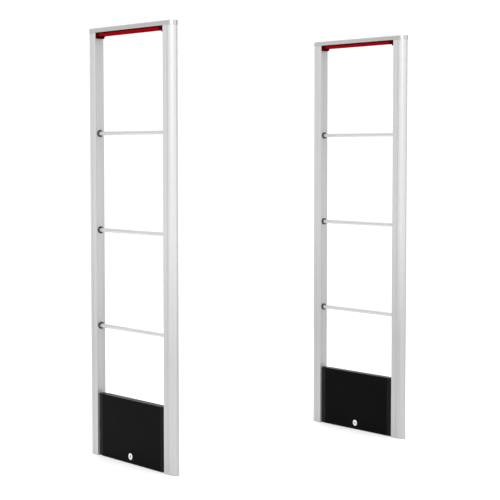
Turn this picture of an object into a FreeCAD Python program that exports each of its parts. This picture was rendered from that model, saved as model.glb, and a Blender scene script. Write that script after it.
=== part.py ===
import FreeCAD, Part
import math
import os

os.makedirs("parts", exist_ok=True)

# A shop-door security gate: two identical pedestals bolted to one floor, parallel and in line.
# Millimetres. X runs along a pedestal's width, -Y is the cover side, +Z is up.
# The origin is on the floor, midway between the two pedestals.

# Overall sizes of one pedestal
height = 1580.0
width = 540.0
depth = 35.0
spacing = 1100.0

# Side posts: hollow aluminium, a flat inner part and a long rounded nose outside
post_flat = 26.0
post_nose = 32.0
post_wall = 2.2
seam_width = 1.2
seam_depth = 0.8
port_r = 3.2
port_bore_r = 1.5
foot_plate = 1.5
foot_block_top_z = 12.0
foot_block_inner = 16.0
foot_block_outer = 8.0
foot_block_width = 16.0
port_side_sink = 0.2
port_back_sink = 1.0

# Cap bar across the top
cap_height = 17.0
cap_overhang = 1.5
cap_bevel = 3.0
cap_wall = 5.5
cap_roof = 4.0
cap_pocket_end = 6.0
cap_screw_head_r = 2.8
cap_screw_head = 1.8
cap_screw_recess = 0.2
cap_screw_length = 31.0

# Cross tubes and their bushes
rung_r = 7.25
rung_wall = 1.5
rung_bottom_z = 485.0
rung_pitch = 355.0
bush_r = 13.0
bush_thick = 3.0
bush_spigot_r = 8.6
bush_round = 1.0
rung_entry = 1.0

# Covers of the base housing
cover_top_z = 233.5
cover_bottom_z = 2.0
cover_depth = 30.0
cover_wall = 2.5
cover_end_gap = 0.8
cover_end_turn = 6.0
cover_end_run = 26.0
cover_seam = 0.3
hook_web = 2.0
hook_web_gap = 3.0
hook_reach = 5.5
hook_lip = 1.8
hook_foot_gap = 0.25
back_screw_r = 1.5
back_head_r = 3.0
back_head = 1.8
back_screw_inset = 44.0
back_screw_levels = (60.0, 190.0)
back_boss_r = 4.0

# Steelwork inside the base housing
base_thick = 4.0
base_side_gap = 0.5
base_end_gap = 0.6
base_taper_gap = 0.7
tab_height = 44.0
tab_depth = 5.4
tab_gap = 0.3
foot_screw_r = 1.75
foot_head_r = 2.6
foot_head = 1.7
foot_screw_reach = 2.0
foot_screw_levels = (16.0, 32.0)
anchor_inset = 42.0
anchor_hole_r = 5.5
gland_inset = 50.0
gland_hole_r = 8.0
chassis_gap = 1.2
chassis_top_z = 225.0
chassis_y = 6.0
chassis_thick = 2.0
notch_half = 13.0
notch_top_z = 32.0

# Guide rails for the front cover
rail_reach = 7.0
rail_depth = 3.5
rail_y = -4.25
rail_bottom_z = 10.0
rail_top_z = 222.0
rail_peg_r = 1.25
rail_peg_length = 3.0
rail_peg_levels = (60.0, 190.0)

# Lock in the front cover
lock_z = 27.5
lock_flange_r = 12.0
lock_flange_thick = 1.5
lock_barrel_r = 9.0
lock_barrel_end_y = -5.2
lock_nut_r = 12.5
lock_nut_thick = 3.0
plug_r = 5.5
plug_end_y = -4.2
plug_recess = 0.3
key_width = 2.0
key_height = 8.0
key_depth = 9.0
cam_length = 18.0
cam_width = 10.0
cam_thick = 2.5
cam_nut_r = 3.0
cam_nut_thick = 1.2
strike_x = 21.0
strike_width = 3.0
strike_reach = 10.0
strike_thick = 2.0
strike_margin = 2.0

# Lamp under the cap
carrier_height = 5.5
carrier_plate = 2.0
carrier_wall = 2.0
lamp_side_inset = 0.5
lens_height = 8.0
lens_leg_height = 16.0
lens_leg = 8.0
lens_wall = 2.0
lens_bend_r = 8.0
lamp_screw_inset = 47.0
lamp_screw_r = 1.5
lamp_head_r = 2.7
lamp_head = 1.2
lamp_head_recess = 0.2
lamp_boss_r = 4.0
lamp_boss_gap = 0.5
lamp_screw_reach = 6.0
lamp_pilot_spare = 1.0
cap_boss_r = 2.6
lamp_board_width = 16.0
lamp_board_end_gap = 8.0
led_height = 1.2
led_count = 12
led_end_gap = 23.0
led_size = 5.0

# Electronics
board_thick = 1.6
standoff_r = 3.0
standoff_height = 3.0
board_inset = 2.0
board_width = 155.0
board_bottom_z = 50.0
board_height = 160.0
board_hole_edge = 6.0
chip_side = 16.0
chip_height = 2.0
chip_first_x = 20.0
chip_pitch = 30.0
chip_rise = 40.0
chip_count = 3
capacitor_r = 4.5
capacitor_height = 9.0
capacitor_first_x = 102.0
capacitor_pitch = 12.0
capacitor_rise = 30.0
capacitor_count = 4
can_edge = 14.0
can_rise = 75.0
can_side = 70.0
can_height = 6.0
sounder_x = 120.0
sounder_rise = 115.0
sounder_r = 12.0
sounder_height = 8.0
sounder_hole_r = 1.5
sounder_hole_depth = 3.0
terminal_edge = 14.0
terminal_length = 60.0
terminal_rise = 4.0
terminal_height = 10.0
terminal_depth = 9.0
terminal_count = 8
terminal_pitch = 7.0
terminal_first_x = 6.0
terminal_well_r = 2.2
terminal_well_depth = 3.0
supply_inset = 4.0
supply_width = 130.0
supply_front_y = -8.0
supply_bottom_z = 75.0
supply_top_z = 195.0
vent_count = 9
vent_first_z = 95.0
vent_pitch = 10.0
vent_height = 3.0
vent_depth = 1.2
vent_edge = 20.0
gland_top_z = 22.0
gland_bore_r = 4.0
gland_collar_r = 11.0
gland_collar_height = 5.0
gland_dome_r = 9.5
gland_dome_bottom_z = 12.0
gland_dome_top_z = 20.0
loop_wire_r = 1.6
loop_gap = 0.3
loop_inset = 3.0
loop_base_z = 229.0
loop_cap_rise = 5.0

# Named clearances
fit = 0.1
slide_gap = 0.5
running_gap = 0.05
wire_gap = 1.0
screw_gap = 1.0

# Cutting shapes run this far past the face they cut, and joined shapes overlap this much
beyond = 1.0
sink = 0.5

# Levels and faces that follow from the sizes above
inner_x = width / 2 - post_flat - post_nose
nose_x = width / 2 - post_nose
half_depth = depth / 2
cap_z = height - cap_height
cover_half = cover_depth / 2
cover_end_x = inner_x - cover_end_gap
cover_turn_x = cover_end_x - cover_end_run
base_taper_x = cover_turn_x - base_taper_gap
cover_end_inside_y = cover_half - cover_end_turn - cover_wall
tab_y = cover_end_inside_y - tab_gap - tab_depth / 2
loop_y = cover_end_inside_y - loop_gap - loop_wire_r
base_depth = cover_depth - 2 * (cover_wall + base_side_gap)
base_end_depth = cover_depth - 2 * (cover_end_turn + cover_wall + base_end_gap)
lamp_board_half = inner_x - lens_leg - lamp_board_end_gap
led_pitch = (2 * (lamp_board_half - led_end_gap) - led_size) / (led_count - 1)
chassis_half = cover_turn_x - chassis_gap
anchor_x = inner_x - anchor_inset
back_screw_x = chassis_half - back_screw_inset
board_left = board_inset - chassis_half
supply_right = chassis_half - supply_inset
supply_left = supply_right - supply_width
gland_x = supply_left + gland_inset
lamp_screw_x = inner_x - lamp_screw_inset
loop_x = nose_x - loop_inset
side_signs = (-1, 1)
board_y = chassis_y - standoff_height - board_thick
full_turn = 2 * math.pi


def box(x0, x1, y0, y1, z0, z1):
    corner = FreeCAD.Vector(x0, y0, z0)
    return Part.makeBox(x1 - x0, y1 - y0, z1 - z0, corner)


def rod_x(radius, x0, x1, y, z):
    start = FreeCAD.Vector(x0, y, z)
    return Part.makeCylinder(radius, x1 - x0, start, FreeCAD.Vector(1, 0, 0))


def rod_y(radius, x, y0, y1, z):
    start = FreeCAD.Vector(x, y0, z)
    return Part.makeCylinder(radius, y1 - y0, start, FreeCAD.Vector(0, 1, 0))


def rod_z(radius, x, y, z0, z1):
    start = FreeCAD.Vector(x, y, z0)
    return Part.makeCylinder(radius, z1 - z0, start, FreeCAD.Vector(0, 0, 1))


def mirrored(shape):
    # The same piece on the pedestal's other side
    return shape.mirror(FreeCAD.Vector(0, 0, 0), FreeCAD.Vector(1, 0, 0))


def for_side(shape, sign):
    return shape if sign > 0 else mirrored(shape)


def prism(points, z0, z1):
    # An upright prism on a plan outline given as corner pairs
    corners = [FreeCAD.Vector(x, y, z0) for x, y in points]
    outline = Part.makePolygon(corners + corners[:1])
    return Part.Face(outline).extrude(FreeCAD.Vector(0, 0, z1 - z0))


def hexagon_z(radius, x, y, z0, z1):
    centre = FreeCAD.Vector(x, y, z0)
    corner = FreeCAD.Vector(radius, 0, 0)
    turn = FreeCAD.Rotation(FreeCAD.Vector(0, 0, 1), 60)
    corners = []
    for _ in range(6):
        corners.append(centre + corner)
        corner = turn.multVec(corner)
    outline = Part.makePolygon(corners + corners[:1])
    return Part.Face(outline).extrude(FreeCAD.Vector(0, 0, z1 - z0))


def nose_arc(radius_x, radius_y, z):
    # Half an ellipse closing the outer end of a post or of the cap
    ellipse = Part.Ellipse(FreeCAD.Vector(nose_x, 0, z), radius_x, radius_y)
    low = FreeCAD.Vector(nose_x, -radius_y, z)
    tip = FreeCAD.Vector(nose_x + radius_x, 0, z)
    high = FreeCAD.Vector(nose_x, radius_y, z)
    first = Part.ArcOfEllipse(ellipse, ellipse.parameter(low), ellipse.parameter(tip) + full_turn)
    second = Part.ArcOfEllipse(ellipse, ellipse.parameter(tip), ellipse.parameter(high))
    return first.toShape(), second.toShape()


def post_bar(inset, z0, z1):
    # A bar with the post's plan outline, drawn in all round by the inset
    side_y = half_depth - inset
    back_x = inner_x + inset
    low = FreeCAD.Vector(back_x, -side_y, z0)
    low_nose = FreeCAD.Vector(nose_x, -side_y, z0)
    high_nose = FreeCAD.Vector(nose_x, side_y, z0)
    high = FreeCAD.Vector(back_x, side_y, z0)
    edges = [Part.makeLine(low, low_nose)]
    edges.extend(nose_arc(post_nose - inset, side_y, z0))
    edges.append(Part.makeLine(high_nose, high))
    edges.append(Part.makeLine(high, low))
    return Part.Face(Part.Wire(edges)).extrude(FreeCAD.Vector(0, 0, z1 - z0))


def cap_bar(grow, z0, z1):
    # A bar with the whole pedestal's plan outline, both ends rounded
    side_y = half_depth + grow
    right = nose_arc(post_nose + grow, side_y, z0)
    left = [mirrored(edge) for edge in right]
    front = Part.makeLine(FreeCAD.Vector(-nose_x, -side_y, z0), FreeCAD.Vector(nose_x, -side_y, z0))
    back = Part.makeLine(FreeCAD.Vector(-nose_x, side_y, z0), FreeCAD.Vector(nose_x, side_y, z0))
    edges = Part.sortEdges([front, back] + list(right) + left)[0]
    return Part.Face(Part.Wire(edges)).extrude(FreeCAD.Vector(0, 0, z1 - z0))


def rung_levels():
    return [rung_bottom_z + step * rung_pitch for step in range(3)]


def port_centres():
    # Screw ports of the post: two in the inner corners, one in the nose
    corner_x = inner_x + post_wall + port_r - port_back_sink
    corner_y = half_depth - post_wall - port_r + port_side_sink
    tip_x = width / 2 - post_wall - port_r + port_side_sink
    return [(corner_x, -corner_y), (corner_x, corner_y), (tip_x, 0.0)]


def make_post():
    # Hollow extrusion with three screw ports and a shadow seam on both faces
    post = post_bar(0.0, foot_plate, cap_z)
    post = post.cut(post_bar(post_wall, foot_plate, cap_z))
    for x, y in port_centres():
        post = post.fuse(rod_z(port_r, x, y, foot_plate, cap_z))
    for x, y in port_centres():
        post = post.cut(rod_z(port_bore_r + fit, x, y, foot_plate, cap_z))
    for side in side_signs:
        seam_y = side * half_depth
        post = post.cut(box(nose_x - seam_width, nose_x, seam_y - seam_depth, seam_y + seam_depth,
                            foot_plate, cap_z))
    through = inner_x + post_wall + port_r
    for z in rung_levels():
        post = post.cut(rod_x(bush_spigot_r + fit, inner_x - beyond, inner_x + post_wall + beyond,
                              0, z))
    for z in rail_peg_levels:
        post = post.cut(rod_x(rail_peg_r + fit, inner_x - beyond, through, rail_y, z))
    for z in foot_screw_levels:
        post = post.cut(rod_x(foot_screw_r + fit, inner_x - beyond, through, tab_y, z))
    wire_hole_r = loop_wire_r + wire_gap
    return post.cut(rod_x(wire_hole_r, inner_x - beyond, through, loop_y, loop_base_z))


def make_foot_plugs():
    # Thin plate closing the foot of a post, with a block that locates inside it
    plate = post_bar(0.0, 0.0, foot_plate)
    half = foot_block_width / 2
    block = box(nose_x - foot_block_inner, nose_x + foot_block_outer, -half, half,
                foot_plate, foot_block_top_z)
    plug = plate.fuse(block)
    return [for_side(plug, sign) for sign in side_signs]


def make_base_strip():
    # Flat steel strip between the posts, its ends tapered to clear the turned-back covers
    half = base_depth / 2
    end_half = base_end_depth / 2
    end_x = inner_x - fit
    outline = [(-end_x, -end_half), (-base_taper_x, -half), (base_taper_x, -half),
               (end_x, -end_half), (end_x, end_half), (base_taper_x, half),
               (-base_taper_x, half), (-end_x, end_half)]
    return prism(outline, 0, base_thick)


def make_strike():
    # Upright welded on the strip, with a ledge that the turned cam sits under
    cam_top_z = lock_z + cam_width / 2
    y0 = plug_end_y - strike_margin
    y1 = plug_end_y + cam_thick + strike_margin
    top_z = cam_top_z + slide_gap + strike_thick
    upright = box(strike_x, strike_x + strike_width, y0, y1, 0, top_z)
    ledge = box(strike_x - strike_reach, strike_x, y0, y1, cam_top_z + slide_gap, top_z)
    return upright.fuse(ledge)


def make_base_plate():
    # Strip, strike and the two ends turned up against the posts
    plate = make_base_strip().fuse(make_strike())
    tab = box(inner_x - base_thick, inner_x - fit, tab_y - tab_depth / 2, tab_y + tab_depth / 2,
              0, tab_height)
    for z in foot_screw_levels:
        tab = tab.cut(rod_x(foot_screw_r + fit, inner_x - base_thick - beyond, inner_x + beyond,
                            tab_y, z))
    for sign in side_signs:
        plate = plate.fuse(for_side(tab, sign))
        plate = plate.cut(rod_z(anchor_hole_r, sign * anchor_x, 0, -beyond,
                                base_thick + beyond))
    plate = plate.cut(rod_z(gland_hole_r + fit, gland_x, 0, -beyond, base_thick + beyond))
    return plate.removeSplitter()


def make_foot_screws():
    # Screws through the turned-up ends into the posts
    head_x = inner_x - base_thick
    shank_end = inner_x + post_wall + foot_screw_reach
    screws = []
    for sign in side_signs:
        for z in foot_screw_levels:
            shank = rod_x(foot_screw_r, head_x, shank_end, tab_y, z)
            head = rod_x(foot_head_r, head_x - foot_head, head_x, tab_y, z)
            screws.append(for_side(shank.fuse(head), sign))
    return screws


def make_guide_rails():
    # Nylon bars pegged to the posts' inner faces that the cover's hooks run on
    rail = box(inner_x - rail_reach, inner_x, rail_y - rail_depth / 2, rail_y + rail_depth / 2,
               rail_bottom_z, rail_top_z)
    for z in rail_peg_levels:
        rail = rail.fuse(rod_x(rail_peg_r, inner_x - sink, inner_x + rail_peg_length, rail_y, z))
    rail = rail.removeSplitter()
    return [for_side(rail, sign) for sign in side_signs]


def cover_outline(inset):
    # Half the cover's plan: straight front, ends turned back towards the posts
    face_y = -cover_half + inset
    turned_y = face_y + cover_end_turn
    seam_y = -cover_seam / 2
    return [(-cover_end_x, seam_y), (-cover_end_x, turned_y), (-cover_turn_x, face_y),
            (cover_turn_x, face_y), (cover_end_x, turned_y), (cover_end_x, seam_y)]


def make_cover_shell():
    # Front wall, turned-back ends and half of the top; open below, behind and beside the posts
    shell = prism(cover_outline(0.0), cover_bottom_z, cover_top_z)
    hollow = prism(cover_outline(cover_wall), cover_bottom_z - beyond, cover_top_z - cover_wall)
    return shell.cut(hollow)


def make_hook():
    # Web and lip that wrap behind the guide rail on the right-hand side
    web_x = inner_x - rail_reach - hook_web_gap - hook_web
    lip_y = rail_y + rail_depth / 2 + slide_gap
    foot_z = base_thick + hook_foot_gap
    roof_z = cover_top_z - cover_wall
    turn_back = cover_end_turn * (web_x - cover_turn_x) / cover_end_run
    root_y = turn_back - cover_half + cover_wall / 2
    web = box(web_x, web_x + hook_web, root_y, lip_y + hook_lip, foot_z, roof_z)
    lip = box(web_x, web_x + hook_web + hook_reach, lip_y, lip_y + hook_lip, foot_z, roof_z)
    return web.fuse(lip)


def make_front_cover():
    # The shell with a hook at each end that runs on the guide rail, and the lock's hole
    cover = make_cover_shell()
    for sign in side_signs:
        cover = cover.fuse(for_side(make_hook(), sign))
    inside_y = cover_wall - cover_half
    cover = cover.cut(rod_y(lock_barrel_r + fit, 0, -cover_half - beyond, inside_y + beyond, lock_z))
    return cover.removeSplitter()


def back_screw_points():
    return [(sign * back_screw_x, z) for sign in side_signs for z in back_screw_levels]


def make_back_cover():
    # The same shell turned to the back, held by screws into the chassis plate
    cover = make_cover_shell()
    cover.rotate(FreeCAD.Vector(0, 0, 0), FreeCAD.Vector(0, 0, 1), 180)
    wall_y = cover_half - cover_wall
    for x, z in back_screw_points():
        cover = cover.fuse(rod_y(back_boss_r, x, chassis_y + chassis_thick, wall_y + sink, z))
    for x, z in back_screw_points():
        cover = cover.cut(rod_y(back_screw_r + fit, x, chassis_y, cover_half + beyond, z))
    return cover.removeSplitter()


def make_back_screws():
    screws = []
    for x, z in back_screw_points():
        shank = rod_y(back_screw_r, x, chassis_y + fit, cover_half, z)
        head = rod_y(back_head_r, x, cover_half, cover_half + back_head, z)
        screws.append(shank.fuse(head))
    return screws


def make_chassis_plate():
    # Upright steel sheet standing on the base plate, carrying the electronics
    half = chassis_half
    back_y = chassis_y + chassis_thick
    sheet = box(-half, half, chassis_y, back_y, base_thick, chassis_top_z)
    foot = box(-half, half, chassis_y, base_depth / 2, base_thick, base_thick + chassis_thick)
    chassis = sheet.fuse(foot)
    for x, z in back_screw_points():
        chassis = chassis.cut(rod_y(back_screw_r + fit, x, chassis_y - beyond, back_y + beyond, z))
    front_y = chassis_y - beyond
    deep_y = base_depth / 2 + beyond
    low_z = base_thick - beyond
    corner = box(anchor_x - notch_half, half + beyond, front_y, deep_y, low_z, notch_top_z)
    for sign in side_signs:
        chassis = chassis.cut(for_side(corner, sign))
    chassis = chassis.cut(box(gland_x - notch_half, gland_x + notch_half, front_y, deep_y,
                              low_z, notch_top_z))
    return chassis.removeSplitter()


def standoff_points():
    left = board_left + board_hole_edge
    right = board_left + board_width - board_hole_edge
    low = board_bottom_z + board_hole_edge
    high = board_bottom_z + board_height - board_hole_edge
    return [(x, z) for x in (left, right) for z in (low, high)]


def make_standoffs():
    return [rod_y(standoff_r, x, chassis_y - standoff_height, chassis_y, z)
            for x, z in standoff_points()]


def make_main_board():
    # Circuit board with its larger soldered parts
    board = box(board_left, board_left + board_width, board_y, board_y + board_thick,
                board_bottom_z, board_bottom_z + board_height)
    chip_z = board_bottom_z + chip_rise
    for step in range(chip_count):
        chip_x = board_left + chip_first_x + step * chip_pitch
        board = board.fuse(box(chip_x, chip_x + chip_side, board_y - chip_height, board_y,
                               chip_z, chip_z + chip_side))
    for step in range(capacitor_count):
        x = board_left + capacitor_first_x + step * capacitor_pitch
        board = board.fuse(rod_y(capacitor_r, x, board_y - capacitor_height, board_y,
                                 board_bottom_z + capacitor_rise))
    return board.removeSplitter()


def make_shield_can():
    left = board_left + can_edge
    bottom = board_bottom_z + can_rise
    return box(left, left + can_side, board_y - can_height, board_y, bottom, bottom + can_side)


def make_sounder():
    x = board_left + sounder_x
    z = board_bottom_z + sounder_rise
    front_y = board_y - sounder_height
    body = rod_y(sounder_r, x, front_y, board_y, z)
    return body.cut(rod_y(sounder_hole_r, x, front_y - beyond, front_y + sounder_hole_depth, z))


def make_terminal_block():
    left = board_left + terminal_edge
    bottom = board_bottom_z + terminal_rise
    front_y = board_y - terminal_depth
    block = box(left, left + terminal_length, front_y, board_y, bottom, bottom + terminal_height)
    for step in range(terminal_count):
        x = left + terminal_first_x + step * terminal_pitch
        block = block.cut(rod_y(terminal_well_r, x, front_y - beyond, front_y + terminal_well_depth,
                                bottom + terminal_height / 2))
    return block


def make_power_supply():
    # Boxed supply fixed flat on the chassis plate, with a vented front
    supply = box(supply_left, supply_right, supply_front_y, chassis_y, supply_bottom_z, supply_top_z)
    left = supply_left + vent_edge
    right = supply_right - vent_edge
    for step in range(vent_count):
        z = vent_first_z + step * vent_pitch
        supply = supply.cut(box(left, right, supply_front_y - beyond, supply_front_y + vent_depth,
                                z, z + vent_height))
    return supply


def make_cable_gland():
    # Gland through the base plate that the supply lead comes up through
    body = rod_z(gland_hole_r, gland_x, 0, 0, gland_top_z)
    collar = hexagon_z(gland_collar_r, gland_x, 0, base_thick, base_thick + gland_collar_height)
    dome = rod_z(gland_dome_r, gland_x, 0, gland_dome_bottom_z, gland_dome_top_z)
    gland = body.fuse(collar).fuse(dome)
    return gland.cut(rod_z(gland_bore_r, gland_x, 0, -beyond, gland_top_z + beyond)).removeSplitter()


def make_lock_body():
    face_y = -cover_half
    flange = rod_y(lock_flange_r, 0, face_y - lock_flange_thick, face_y, lock_z)
    barrel = rod_y(lock_barrel_r, 0, face_y, lock_barrel_end_y, lock_z)
    bore = rod_y(plug_r + running_gap, 0, face_y - lock_flange_thick - beyond,
                 lock_barrel_end_y + beyond, lock_z)
    return flange.fuse(barrel).cut(bore).removeSplitter()


def make_lock_nut():
    wall_y = -cover_half + cover_wall
    nut = hexagon_z(lock_nut_r, 0, 0, 0, lock_nut_thick)
    nut.rotate(FreeCAD.Vector(0, 0, 0), FreeCAD.Vector(1, 0, 0), -90)
    nut.translate(FreeCAD.Vector(0, wall_y, lock_z))
    hole = rod_y(lock_barrel_r + fit, 0, wall_y - beyond, wall_y + lock_nut_thick + beyond, lock_z)
    return nut.cut(hole)


def make_lock_plug():
    # Turning core with a keyway
    face_y = -cover_half - lock_flange_thick
    plug = rod_y(plug_r, 0, face_y + plug_recess, plug_end_y, lock_z)
    key = box(-key_width / 2, key_width / 2, face_y - beyond, face_y + key_depth,
              lock_z - key_height / 2, lock_z + key_height / 2)
    return plug.cut(key)


def make_lock_cam():
    # Flat tongue on the back of the plug, hanging down when unlocked
    y0 = plug_end_y
    y1 = plug_end_y + cam_thick
    tip_z = lock_z - cam_length + cam_width / 2
    hub = rod_y(cam_width / 2, 0, y0, y1, lock_z)
    bar = box(-cam_width / 2, cam_width / 2, y0, y1, tip_z, lock_z)
    tip = rod_y(cam_width / 2, 0, y0, y1, tip_z)
    nut = rod_y(cam_nut_r, 0, y1, y1 + cam_nut_thick, lock_z)
    return hub.fuse(bar).fuse(tip).fuse(nut).removeSplitter()


def make_rung(z):
    end_x = inner_x + post_wall + rung_entry
    tube = rod_x(rung_r, -end_x, end_x, 0, z)
    return tube.cut(rod_x(rung_r - rung_wall, -end_x - beyond, end_x + beyond, 0, z))


def make_rung_bushes():
    # Black ring where a tube meets a post, with a spigot through the post's wall
    bushes = []
    for z in rung_levels():
        ring = rod_x(bush_r, inner_x - bush_thick, inner_x, 0, z)
        rim = [edge for edge in ring.Edges if edge.BoundBox.XMax < inner_x - bush_thick + sink]
        ring = ring.makeFillet(bush_round, rim)
        spigot = rod_x(bush_spigot_r, inner_x - sink, inner_x + post_wall, 0, z)
        bore = rod_x(rung_r + fit, inner_x - bush_thick - beyond, inner_x + post_wall + beyond, 0, z)
        bush = ring.fuse(spigot).cut(bore).removeSplitter()
        for sign in side_signs:
            bushes.append(for_side(bush, sign))
    return bushes


def lamp_screw_places():
    return (-lamp_screw_x, 0.0, lamp_screw_x)


def make_top_cap():
    # Cast bar with a bevelled top edge, hollow below for the antenna wire, with the lamp's bosses
    cap = cap_bar(cap_overhang, cap_z, height)
    top_edges = [edge for edge in cap.Edges if edge.BoundBox.ZMin > height - fit]
    cap = cap.makeChamfer(cap_bevel, top_edges)
    pocket_x = loop_x + cap_pocket_end
    pocket_y = half_depth + cap_overhang - cap_wall
    cap = cap.cut(box(-pocket_x, pocket_x, -pocket_y, pocket_y, cap_z - beyond, height - cap_roof))
    pilot_top_z = cap_z + lamp_screw_reach + lamp_pilot_spare
    for x in lamp_screw_places():
        cap = cap.fuse(rod_z(cap_boss_r, x, 0, cap_z, height - cap_roof + sink))
        cap = cap.cut(rod_z(lamp_screw_r + fit, x, 0, cap_z - beyond, pilot_top_z))
    for x, y in port_centres():
        for sign in side_signs:
            cap = cap.cut(rod_z(port_bore_r + fit, sign * x, y, cap_z - beyond, height + beyond))
            cap = cap.cut(rod_z(cap_screw_head_r + fit, sign * x, y, height - cap_screw_head,
                                height + beyond))
    return cap


def make_cap_screws():
    # Screws down through the cap into the posts' screw ports
    screws = []
    for x, y in port_centres():
        for sign in side_signs:
            shank = rod_z(port_bore_r, sign * x, y, height - cap_screw_length, height - cap_screw_head)
            head = rod_z(cap_screw_head_r, sign * x, y, height - cap_screw_head,
                         height - cap_screw_recess)
            screws.append(shank.fuse(head))
    return screws


def make_lamp_carrier():
    # Black channel under the cap, open downwards, that holds the lamp board and the lens
    half = inner_x - fit
    side_y = half_depth - lamp_side_inset
    low_z = cap_z - carrier_height
    channel = box(-half, half, -side_y, side_y, low_z, cap_z)
    inside = box(-half + lens_leg, half - lens_leg, -side_y + carrier_wall, side_y - carrier_wall,
                 low_z - beyond, cap_z - carrier_plate)
    carrier = channel.cut(inside)
    for x in lamp_screw_places():
        carrier = carrier.cut(rod_z(lamp_screw_r + fit, x, 0, low_z - beyond, cap_z + beyond))
    return carrier


def lens_profile(inset, top_z):
    # Side outline of the lens: a bar whose ends turn down, with a round bend inside each corner
    half = inner_x - fit - inset
    low_z = cap_z - carrier_height - lens_height + inset
    leg_z = cap_z - carrier_height - lens_leg_height + inset
    leg_x = inner_x - lens_leg + inset
    bend_r = min(lens_bend_r + inset, low_z - leg_z)
    turn_x = leg_x - bend_r
    centre_z = low_z - bend_r
    slant = bend_r * math.cos(math.pi / 4)
    edges = []
    for sign in side_signs:
        start = FreeCAD.Vector(sign * turn_x, 0, low_z)
        middle = FreeCAD.Vector(sign * (turn_x + slant), 0, centre_z + slant)
        end = FreeCAD.Vector(sign * leg_x, 0, centre_z)
        foot = FreeCAD.Vector(sign * leg_x, 0, leg_z)
        outer_foot = FreeCAD.Vector(sign * half, 0, leg_z)
        outer_top = FreeCAD.Vector(sign * half, 0, top_z)
        edges.append(Part.Arc(start, middle, end).toShape())
        if centre_z > leg_z:
            edges.append(Part.makeLine(end, foot))
        edges.append(Part.makeLine(foot, outer_foot))
        edges.append(Part.makeLine(outer_foot, outer_top))
    edges.append(Part.makeLine(FreeCAD.Vector(-half, 0, top_z), FreeCAD.Vector(half, 0, top_z)))
    edges.append(Part.makeLine(FreeCAD.Vector(-turn_x, 0, low_z), FreeCAD.Vector(turn_x, 0, low_z)))
    return Part.Face(Part.Wire(Part.sortEdges(edges)[0]))


def lens_bar(inset, top_z, half_width):
    face = lens_profile(inset, top_z)
    face.translate(FreeCAD.Vector(0, -half_width, 0))
    return face.extrude(FreeCAD.Vector(0, 2 * half_width, 0))


def make_lamp_lens():
    # Red moulded lens, a thin-walled trough with a screw boss at each screw
    side_y = half_depth - lamp_side_inset
    seat_z = cap_z - carrier_height
    face_z = seat_z - lens_height
    lens = lens_bar(0.0, seat_z, side_y)
    lens = lens.cut(lens_bar(lens_wall, seat_z + beyond, side_y - lens_wall))
    for x in lamp_screw_places():
        boss = rod_z(lamp_boss_r, x, 0, face_z, seat_z - lamp_boss_gap)
        lens = lens.fuse(boss).cut(rod_z(lamp_screw_r + fit, x, 0, face_z - beyond, seat_z + beyond))
        lens = lens.cut(rod_z(lamp_head_r + fit, x, 0, face_z - beyond, face_z + lamp_head))
    return lens.removeSplitter()


def make_lamp_screws():
    # Screws up through lens and carrier into the cap's bosses
    screws = []
    seat = cap_z - carrier_height - lens_height + lamp_head
    for x in lamp_screw_places():
        shank = rod_z(lamp_screw_r, x, 0, seat, cap_z + lamp_screw_reach)
        head = rod_z(lamp_head_r, x, 0, seat - lamp_head + lamp_head_recess, seat)
        screws.append(shank.fuse(head))
    return screws


def make_lamp_board():
    # Strip of lamps under the carrier plate
    half = lamp_board_half
    side_y = lamp_board_width / 2
    top_z = cap_z - carrier_plate
    low_z = top_z - board_thick
    board = box(-half, half, -side_y, side_y, low_z, top_z)
    first = -led_pitch * (led_count - 1) / 2
    for step in range(led_count):
        x = first + step * led_pitch
        board = board.fuse(box(x - led_size / 2, x + led_size / 2, -led_size / 2, led_size / 2,
                               low_z - led_height, low_z))
    for x in lamp_screw_places():
        board = board.cut(rod_z(lamp_screw_r + screw_gap, x, 0, cap_z - carrier_height,
                                top_z + beyond))
    return board.removeSplitter()


def make_antenna_loop():
    # Insulated wire round the whole frame, inside both posts, the cap and the base housing
    top_z = cap_z + loop_cap_rise
    loop = rod_x(loop_wire_r, -loop_x, loop_x, loop_y, top_z)
    loop = loop.fuse(rod_x(loop_wire_r, -loop_x, loop_x, loop_y, loop_base_z))
    for sign in side_signs:
        loop = loop.fuse(rod_z(loop_wire_r, sign * loop_x, loop_y, loop_base_z, top_z))
        for z in (loop_base_z, top_z):
            loop = loop.fuse(Part.makeSphere(loop_wire_r, FreeCAD.Vector(sign * loop_x, loop_y, z)))
    return loop.removeSplitter()


def pedestal_pieces():
    # Pieces that keep a file of their own on each pedestal
    levels = rung_levels()
    post = make_post()
    return {
        "post_right": [post],
        "post_left": [mirrored(post)],
        "base_plate": [make_base_plate()],
        "guide_rails": make_guide_rails(),
        "chassis_plate": [make_chassis_plate()],
        "main_board": [make_main_board()],
        "shield_can": [make_shield_can()],
        "sounder": [make_sounder()],
        "terminal_block": [make_terminal_block()],
        "power_supply": [make_power_supply()],
        "cable_gland": [make_cable_gland()],
        "front_cover": [make_front_cover()],
        "back_cover": [make_back_cover()],
        "lock_body": [make_lock_body()],
        "lock_nut": [make_lock_nut()],
        "lock_plug": [make_lock_plug()],
        "lock_cam": [make_lock_cam()],
        "rung_bottom": [make_rung(levels[0])],
        "rung_middle": [make_rung(levels[1])],
        "rung_top": [make_rung(levels[2])],
        "top_cap": [make_top_cap()],
        "lamp_carrier": [make_lamp_carrier()],
        "lamp_lens": [make_lamp_lens()],
        "lamp_board": [make_lamp_board()],
        "antenna_loop": [make_antenna_loop()],
    }


def shared_pieces():
    # Small identical pieces that share one file over both pedestals
    return {
        "foot_plugs": make_foot_plugs(),
        "foot_screws": make_foot_screws(),
        "back_screws": make_back_screws(),
        "standoffs": make_standoffs(),
        "rung_bushes": make_rung_bushes(),
        "cap_screws": make_cap_screws(),
        "lamp_screws": make_lamp_screws(),
    }


def placed(shape, y):
    copy = shape.copy()
    copy.translate(FreeCAD.Vector(0, y, 0))
    return copy


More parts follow.
